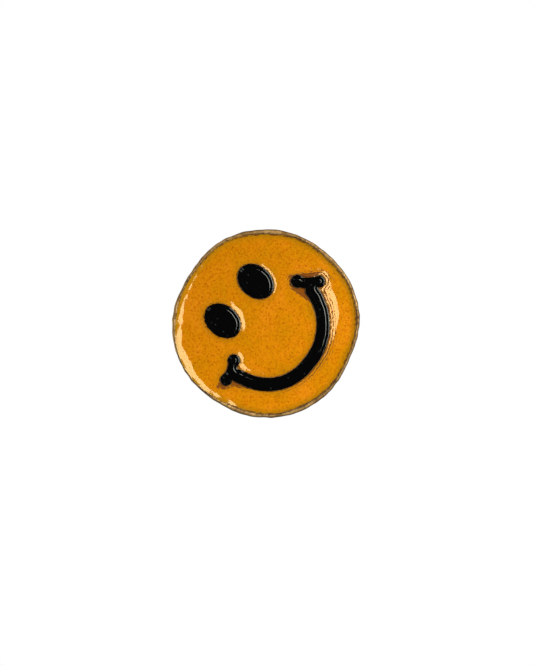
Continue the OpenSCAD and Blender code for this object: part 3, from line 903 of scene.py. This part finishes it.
# Height of the field: its open level, the most that it climbs at any wall, and a slow swell
def fieldHeight(s, at):
    x, z, wall = at["x"], at["z"], lineSettings["width"]
    reach = s["poolReach"] + sum(more * np.exp(-((at["mouthDegrees"] - toward) / spread) ** 2)
                                 for more, toward, spread in s["poolBulges"])
    past = np.clip((reach - at["mouthRadius"]) / (reach - s["poolStart"]), 0, 1)
    pool = s["pool"][0] * past ** s["pool"][1] * at["outside"] * within(at["mouthDegrees"], s["poolSpan"])
    top, fade = s["bridgeTop"]
    bridge = climb(webDistance(x, z, s["bridge"]), *s["bridgeClimb"]) * np.clip((top - z) / fade, 0, 1)
    rise, reach, power = s["rim"]
    rimReach = reach + s["rimBulge"][0] * within(at["degrees"], s["rimBulge"][1])
    rimRise = rise * rimReach / reach * (1 - s["rimHollow"][0] * within(at["degrees"], s["rimHollow"][1]))
    vary, pitch = s["uneven"]
    uneven = 1 + vary * ripple(x, z, 41, pitch)
    rises = [pool, bridge, climb(at["rim"] * uneven, rimRise, rimReach, power)]
    rises += [climb((at[eye] - wall) * uneven, *s[eye]) for eye in ("leftEye", "rightEye")]
    rises.append(climb((at["mouth"] - wall) * uneven, *s["mouth"]) * np.clip((at["web"] - 0.1) / 0.4, 0, 1))
    height = s["level"] + np.maximum.reduce(rises)
    for (size, pitch), seed in ((s["swell"], 43), (s["ripple"], 47)):
        height = height + size * ripple(x, z, seed, pitch)
    inside, above = s["sunk"]
    return np.where(np.minimum(at["eyes"], at["mouth"]) < inside, cellFloor + above, height)


# Marks for the finish: how thin the enamel is, how stained its seams are, where copper shows through,
# and the distance from the nearest wall, which the crackle lines follow
def fieldMarks(s, at):
    lineGap = np.minimum(at["eyes"], at["mouth"]) - lineSettings["width"]
    thin = [np.clip(1 - gap / reach, 0, 1) ** power * strength
            for gap, (reach, power, strength) in ((at["rim"], s["thinAtRim"]), (lineGap, s["thinAtLines"]))]
    crackled = at["outside"] * within(at["mouthDegrees"], s["crackleSpan"])
    over, reach, strength = s["mouth"]
    moreReach, moreStrength = s["crackled"]
    # the rim's seam is painted shade as well as oxide, so it is left off the upper left, where the key light
    # falls on the rim's inner wall
    clean = 1 - s["rimLitSide"][0] * within(at["degrees"], s["rimLitSide"][1])
    seams = [stainAt(at["mouth"], over, reach + moreReach * crackled, strength + moreStrength * crackled),
             stainAt(at["eyes"], *s["eyes"]), stainAt(at["rim"], *s["rim"]) * clean,
             stainAt(np.abs(at["web"]), *s["web"])]
    return {"thin": np.maximum(*thin), "seam": np.maximum.reduce(seams),
            "web": stainAt(at["web"], *s["burnt"]),
            "gap": np.minimum.reduce([at["mouth"], at["eyes"], at["rim"]])}


# Yellow field: a disc in rings whose top is the enamel's height, with a side and a flat underside
def makeField():
    share = np.concatenate([np.linspace(0.004, 0.86, 118), np.linspace(0.866, 1, 30)])
    turn = np.linspace(0, fullTurn, 620, endpoint=False)
    inner = edgeRadius(turn) - rimWidth(turn)
    at = measureField(share[:, None] * (inner + fieldSettings["underRim"]), turn, inner)
    top = np.stack([at["x"], -fieldHeight(fieldSettings, at), at["z"]], -1)
    foot = top[-1:] * [1, 0, 1] - [0, cellFloor, 0]
    marks = {key: np.vstack([value, value[-1:], value[-1:]])
             for key, value in fieldMarks(stainSettings, at).items()}
    return gridShell(np.concatenate([top, foot, foot * [0.1, 1, 0.1]]), marks=marks)


buildPiece("yellow_field", [makeField()], "badge", "field_enamel", yellowEnamel,
           sharpAngle=60)

beadSettings = {
    "over": 0.07,            # mm by which the bead laps over its line
    # mm inwards and slope in degrees: a flank, a first shoulder, a second flank and the shoulder at the top
    "slopes": [(0, 29), (0.05, 29), (0.09, 7), (0.12, 29), (0.37, 29), (0.46, 0)],
    "ragged": 0.012,         # mm by which its outline wanders
}


# Black bead: straight up from the cell floor, then its slopes added up so that they end at the level top
def beadSection(s):
    inset, slope = np.array(s["slopes"], float).T
    steps = np.linspace(0, inset[-1], 37)
    rise = np.tan(np.radians(np.interp(steps, inset, slope))) * steps[1]
    height = beadTop - rise[::-1].cumsum()[::-1]
    rows = [(0.0, cellFloor), (0.0, height[0] - 0.01), *zip(steps, height), (inset[-1] + 0.01, beadTop)]
    return np.array(rows) - [s["over"], 0]


def makeBead(line, away, seed):
    place = np.linspace(0, fullTurn, len(line), endpoint=False)
    line = line + away * (beadSettings["ragged"] * wobble(place, seed, 6, 90))[:, None]
    return carryRound(line, away, beadSection(beadSettings), caps=("face", "face"))


for side, seed in (("left", 51), ("right", 52)):
    buildPiece(side + "_eye_bead", [makeBead(*traceEye(eyes[side]), seed)], "badge",
               side + "_eye_enamel", blackEnamel)
buildPiece("mouth_bead", [makeBead(mouthLine, mouthAway, 53)], "badge", "mouth_enamel",
           blackEnamel)

postSettings = {
    "radius": 0.55, "groove": 0.17, "grooveHeight": 0.7, "grooves": (3.55, 5.25),    # mm
    "footTop": 0.25, "fillet": 0.3, "pointLength": 0.9, "pointRadius": 0.12,
}


# Post: section from under the foot, round its edge, up a fillet and the grooved shank to the blunt point
def makePost(s):
    low, high = boxMm("post")
    foot, tip, radius, under = high[0], high[1], s["radius"], s["radius"] - s["groove"]
    rows = [(0.3, low[1]), (foot - 0.04, low[1]), (foot, low[1] + 0.04), (foot, s["footTop"] - 0.06),
            (foot - 0.02, s["footTop"] - 0.02), (foot - 0.07, s["footTop"])]
    rows += arcPoints((radius + s["fillet"], s["footTop"] + s["fillet"]), s["fillet"], 270, 180, 7).tolist()
    for middle in s["grooves"]:
        start, end = middle - s["grooveHeight"] / 2, middle + s["grooveHeight"] / 2
        rows += [(radius, start - 0.03), (radius - 0.03, start), (under + 0.02, start + 0.03),
                 (under, start + 0.06), (under, end - 0.06), (under + 0.02, end - 0.03),
                 (radius - 0.03, end), (radius, end + 0.03)]
    shoulder = tip - s["pointLength"]
    rows += [(radius, shoulder - 0.05), (radius - 0.02, shoulder + 0.03)]
    rows += arcPoints((0, tip - s["pointRadius"]), s["pointRadius"], 25, 80, 6).tolist()
    return lathe(rows, 72)


buildPiece("tack_post", [makePost(postSettings)], "badge", "post", postBrass, sharpAngle=50)

solderSettings = {
    "overlap": 0.02,              # mm under the foot's edge
    "creep": (0.05, -0.04, 0.1),  # mm that its outline wanders, and the least and most that it does
    "lift": (0.5, 0.18),          # share of the gap that it climbs, and how much that varies
}


# Solder: a hollow fillet between the seat's wall and the foot, a little uneven round the joint
def makeSolder(s):
    low, high = boxMm("post_solder")
    foot = boxMm("post")[1][0]
    inner = foot - s["overlap"]
    turn = np.linspace(0, fullTurn, 160, endpoint=False)
    creep, least, most = s["creep"]
    outer = high[0] + np.clip(creep * wobble(turn, 61, 2, 12), least, most)
    lift = np.clip(s["lift"][0] + s["lift"][1] * wobble(turn, 62, 2, 14), 0.15, 0.95)
    share = np.linspace(0, 1, 8)[:, None]
    radius = inner + (outer - foot) * (1 - np.sqrt(np.maximum(1 - share ** 2, 0)))[::-1]
    height = high[1] * lift * share ** 1.6 + 0.004
    under = [(np.full_like(turn, end), np.full_like(turn, low[1] + 0.002)) for end in (inner, high[0] - 0.01)]
    rows = np.array([*under, *zip(radius, height)])
    points = np.stack([rows[:, 0] * np.cos(turn), rows[:, 1], rows[:, 0] * np.sin(turn)], -1)
    return gridShell(points, wrapRows=True)


buildPiece("solder_fillet", [makeSolder(solderSettings)], "badge", "post_solder", solderTin,
           sharpAngle=70)
print("badge is made")


clutchSettings = {
    "sheet": 0.4,                     # mm thick, the dish's
    "hole": 1.15,                     # radius of the hole for the post
    "edgeBend": 0.7,                  # radius outside the turned edge
    "bead": (4.35, 0.10, 0.35),       # pressed ring: its radius, rise and width
    "coverSheet": 0.35,
    "coverFoot": 0.5,                 # width of the cap's flange
    "coverCorner": 0.45,
    "broken": 0.045,                  # mm taken off each cut edge
    "windowDrop": 0.6,                # the windows' edge below the wings' hinges
    "windowSide": 2.35,               # half their width
}


# Dish: middle line of the sheet from the hole, over a shallow pressed ring, up the turned edge
def makeDish(s):
    low, high = boxMm("clutch_dish")
    radius, half = high[0] - s["sheet"] / 2, s["sheet"] / 2
    level, bend = low[1] + half, s["edgeBend"] - half
    across = np.linspace(s["hole"], radius - bend, 34)
    ringRadius, ringRise, ringWidth = s["bead"]
    rise = ringRise * np.exp(-((across - ringRadius) / ringWidth) ** 2)
    path = np.vstack([np.stack([across, level + rise], -1),
                      arcPoints((radius - bend, level + bend), bend, -80, 0, 8), [(radius, high[1])]])
    return lathe(path, 144, caps=(None, None), keep=np.ones((len(path) - 1, 144), bool))


buildPiece("clutch_dish_pressing", [makeDish(clutchSettings)], "clutch", "clutch_dish",
           clutchBrass, sheet=clutchSettings["sheet"], bevel=clutchSettings["broken"])


# Where each wing rocks, from its joint: x, y and z in millimetres
pivots = {joint["child"]: np.array(joint["pos_m"]) / mm for joint in frame["joints"] if "pos_m" in joint}


# Cover: middle line of the sheet from its foot, up the wall and over to the post's hole, with a window
# cut in the wall on each side where a wing passes
def makeCover(s):
    low, high = boxMm("clutch_cover")
    half = s["coverSheet"] / 2
    wall = high[0] - s["coverFoot"] - half
    windowLow, windowHigh = pivots["right_wing"][1] - s["windowDrop"], high[1] - s["coverSheet"]
    foot = [(high[0], low[1] + half), (wall + 0.25, low[1] + half)]
    lower = [(wall + 0.07, low[1] + half + 0.05), (wall, low[1] + half + 0.2)]
    middle = [(wall, windowLow), (wall, high[1] - half - s["coverCorner"] - 0.1)]
    bend = s["coverCorner"]
    corner = arcPoints((wall - bend, high[1] - half - bend), bend, 0, 90, 9)
    top = [(wall - 1.2, high[1] - half), (s["hole"], high[1] - half)]
    path = np.vstack([foot, lower, middle, corner, top])
    edge = math.asin(s["windowSide"] / wall)
    halfTurn = np.concatenate([np.linspace(-edge, edge, 29)[:-1], np.linspace(edge, np.pi - edge, 25)[:-1]])
    turn = np.concatenate([halfTurn, halfTurn + np.pi])
    points = np.stack([path[:, :1] * np.cos(turn), np.broadcast_to(path[:, 1:], (len(path), turn.size)),
                       path[:, :1] * np.sin(turn)], -1)
    heights = (path[:-1, 1] + path[1:, 1]) / 2
    inWall = (heights > windowLow) & (heights < windowHigh - half)
    middles = turn + np.diff(np.append(turn, turn[0] + fullTurn)) / 2
    cut = inWall[:, None] & (np.abs(np.sin(middles)) * wall < s["windowSide"])[None]
    return gridShell(points, caps=(None, None), keep=~cut)


buildPiece("clutch_cap", [makeCover(clutchSettings)], "clutch_head", "clutch_cover",
           clutchBrass, sheet=clutchSettings["coverSheet"], bevel=clutchSettings["broken"])

springSettings = {"wire": 0.225, "leg": 0.615, "taper": 0.6}   # radius, middle to leg, taper in radii


# Spring: a round wire carried along a hairpin, down one leg, round the bend and up the other, with
# the wire's radius falling to nothing over the last of each leg
def makeSpring(s):
    low, high = boxMm("clutch_spring")
    level = (low[1] + high[1]) / 2
    bendZ = high[2] - s["leg"] - s["wire"]
    left = np.stack([np.full(30, -s["leg"]), np.linspace(low[2], bendZ, 30)], -1)[:-1]
    bend = arcPoints((0, bendZ), s["leg"], 180, 0, 24)
    path = np.vstack([left, bend, left[::-1] * [-1, 1]])
    run, taper = runAlong(path), s["wire"] * s["taper"]
    ends = np.concatenate([np.linspace(0, taper, 7)[1:], [run[1]]])
    place = np.unique(np.concatenate([[0.01], ends, run[1:-1], run[-1] - ends, [run[-1] - 0.01]]))
    path = pointsAt(path, place)
    toEnd = np.clip(np.minimum(place, run[-1] - place) / taper, 0, 1)
    radius = s["wire"] * np.sqrt(1 - (1 - toEnd) ** 2)
    along = np.gradient(path, axis=0)
    along /= np.linalg.norm(along, axis=1, keepdims=True)
    turn = np.linspace(0, fullTurn, 28, endpoint=False)
    side = radius[:, None] * np.cos(turn)
    points = np.stack([path[:, :1] - along[:, 1:] * side, level + radius[:, None] * np.sin(turn),
                       path[:, 1:] + along[:, :1] * side], -1)
    return gridShell(points)


buildPiece("grip_wire", [makeSpring(springSettings)], "clutch_head", "clutch_spring",
           springSteel)

wingSettings = {
    "sheet": 0.35,             # mm thick
    "rise": 76,                # degrees from level
    "bend": 0.9,               # radius between level and slope
    "curl": 0.42,              # radius of the curled tip
    "corner": 1.2,             # radius of its two corners
    "edge": 0.09,              # radius of its edges, and of the fingers'
    "fingerEdge": 0.06,
    "fingerEnd": 2.6,          # where the fingers join the wing, from the post
    "fingers": (1.3, 1.9),     # where each one starts and ends to the side
    "hook": (0.1, 0.36),       # where the hook at its end starts and ends, from the post
    "hookDrop": 0.72,
    "rib": 0.24,               # radius of the rib that the wing rocks on
}


# Middle line of a wing's sheet seen along its hinge: level, a bend, a slope and a curl at the tip
def wingPath(s, high, level):
    rise, half = math.radians(s["rise"]), s["sheet"] / 2
    tip = np.array([high[0] - s["curl"] * (1 + math.sin(rise)) - half, high[1] - s["curl"]])
    bendX = tip[0] - (tip[1] - level) / math.tan(rise) - s["bend"] * math.tan(rise / 2)
    slopeStart = np.array([bendX + s["bend"] * math.sin(rise), level + s["bend"] * (1 - math.cos(rise))])
    curlMiddle = tip + np.array([math.sin(rise), -math.cos(rise)]) * s["curl"]
    return np.vstack([
        [(s["fingerEnd"] + 0.001, level), (bendX - 0.25, level), (bendX - 0.1, level)],
        arcPoints((bendX, level + s["bend"]), s["bend"], -90, s["rise"] - 90, 12),
        [tip * share + slopeStart * (1 - share) for share in (0.25, 0.5, 0.7, 0.85)],
        arcPoints(curlMiddle, s["curl"], s["rise"] + 90, 20, 12),
    ])


# Bar between two corners: a rounded rectangle in rings that draw in at both ends
def makeBar(low, high, edge):
    low, high = np.array(low, float), np.array(high, float)
    middle, half = (low + high) / 2, (high - low) / 2
    bend = np.radians(np.linspace(0, 90, 5))
    less, more = edge * (1 - np.cos(bend)), edge * (1 - np.sin(bend))
    quarter = np.stack([half[0] - less, half[2] - more], -1)
    ring = np.vstack([quarter, quarter[::-1] * [-1, 1], -quarter, quarter[::-1] * [1, -1]])
    drawIn = np.concatenate([more, more[::-1]])[:, None, None]
    level = np.concatenate([less - half[1], (half[1] - less)[::-1]])[:, None]
    flat = ring[None] * (1 - drawIn / half[[0, 2]])
    points = np.stack([middle[0] + flat[..., 0], np.broadcast_to(middle[1] + level, flat.shape[:2]),
                       middle[2] + flat[..., 1]], -1)
    return gridShell(points)


# Wing's middle surface: its middle line spread across its width, which narrows to round the tip's corners
def wingSurface(s, reach, level):
    path = wingPath(s, reach, level)
    past = np.clip(path[:, 1] - (reach[1] - s["corner"]), 0, s["corner"])
    half = reach[2] - s["corner"] + np.sqrt(np.maximum(s["corner"] ** 2 - past ** 2, 0.01))
    half[path[:, 1] < reach[1] - s["corner"]] = reach[2]
    half = np.minimum.accumulate(half)
    width = half[:, None] * np.linspace(-1, 1, 23)
    return np.stack([np.broadcast_to(path[:, :1], width.shape), np.broadcast_to(path[:, 1:], width.shape),
                     width], -1)


# Closed sheet from its middle surface: a rounded edge section is laid round each line across it, and the
# lines at its two ends draw in to round those too
def thickSheet(points, half, edge):
    along = np.gradient(points, axis=0)
    across = points[:, -1:] - points[:, :1]
    normal = np.cross(along, np.broadcast_to(across, points.shape))
    normal /= np.linalg.norm(normal, axis=-1, keepdims=True)
    unit = across / np.linalg.norm(across, axis=-1, keepdims=True)
    bend = np.radians(np.linspace(0, 90, 5))[1:]
    pull = edge * (1 - np.cos(bend))[None, :, None]
    lift = half - edge * (1 - np.sin(bend))[None, :, None]
    inner = points[:, 2:-2]
    flat = np.concatenate([points[:, :1] + unit * pull, inner, points[:, -1:] - unit * pull[:, ::-1]], 1)
    rise = np.concatenate([normal[:, :1] * lift, normal[:, 2:-2] * half, normal[:, -1:] * lift[:, ::-1]], 1)
    ring = np.concatenate([flat + rise, (flat - rise)[:, ::-1]], 1)
    sides = [np.repeat(side, bend.size, 1) for side in (points[:, :1], points[:, -1:])]
    core = np.concatenate([sides[0], inner, sides[1]], 1)
    core = np.concatenate([core, core[:, ::-1]], 1)
    step = along[:, :1] / np.linalg.norm(along[:, :1], axis=-1, keepdims=True)
    share = ((half - edge * (1 - np.cos(bend))) / half)[:, None, None]
    back = (edge * np.sin(bend) - edge)[:, None, None]
    start, end = [core[row] + (ring[row] - core[row]) * share + way * step[row] * back
                  for row, way in ((0, -1), (-1, 1))]
    return gridShell(np.concatenate([start[::-1], ring[1:-1], end]), caps=("face", "face"))


# Wing: its sheet, two fingers that reach in under the cap, a hook down from the end of each, and the rib
def buildWing(node, body):
    s = wingSettings
    low, high = boxMm(node)
    pivot, half = pivots[body], s["sheet"] / 2
    mirror = -1 if high[0] < -low[0] else 1
    reach = np.array([max(high[0], -low[0]), high[1], high[2]])
    level, width = pivot[1], high[2]
    shells = [thickSheet(wingSurface(s, reach, level) * [mirror, 1, 1], half, s["edge"])]
    finger = sorted((mirror * s["hook"][0], mirror * (s["fingerEnd"] + 0.2)))
    hook = sorted((mirror * s["hook"][0], mirror * s["hook"][1]))
    for side in (-1, 1):
        near, far = sorted((side * s["fingers"][0], side * s["fingers"][1]))
        for (start, end), drop in ((finger, s["sheet"]), (hook, s["hookDrop"])):
            low, high = (start, level + half - drop, near), (end, level + half, far)
            shells.append(makeBar(low, high, s["fingerEdge"]))
    turn = np.linspace(0, fullTurn, 28, endpoint=False)
    ends = np.array([-width, -width + 0.04, width - 0.04, width])[:, None]
    size = s["rib"] * np.array([0.85, 1, 1, 0.85])[:, None]
    rib = np.stack([pivot[0] + size * np.cos(turn), pivot[1] + size * np.sin(turn),
                    np.broadcast_to(ends, (4, 28))], -1)
    shells.append(gridShell(rib))
    buildPiece(node.replace("wing_", "squeeze_wing_"), shells, body, node, clutchBrass)


buildWing("wing_left", "left_wing")
buildWing("wing_right", "right_wing")
print("clutch is made")
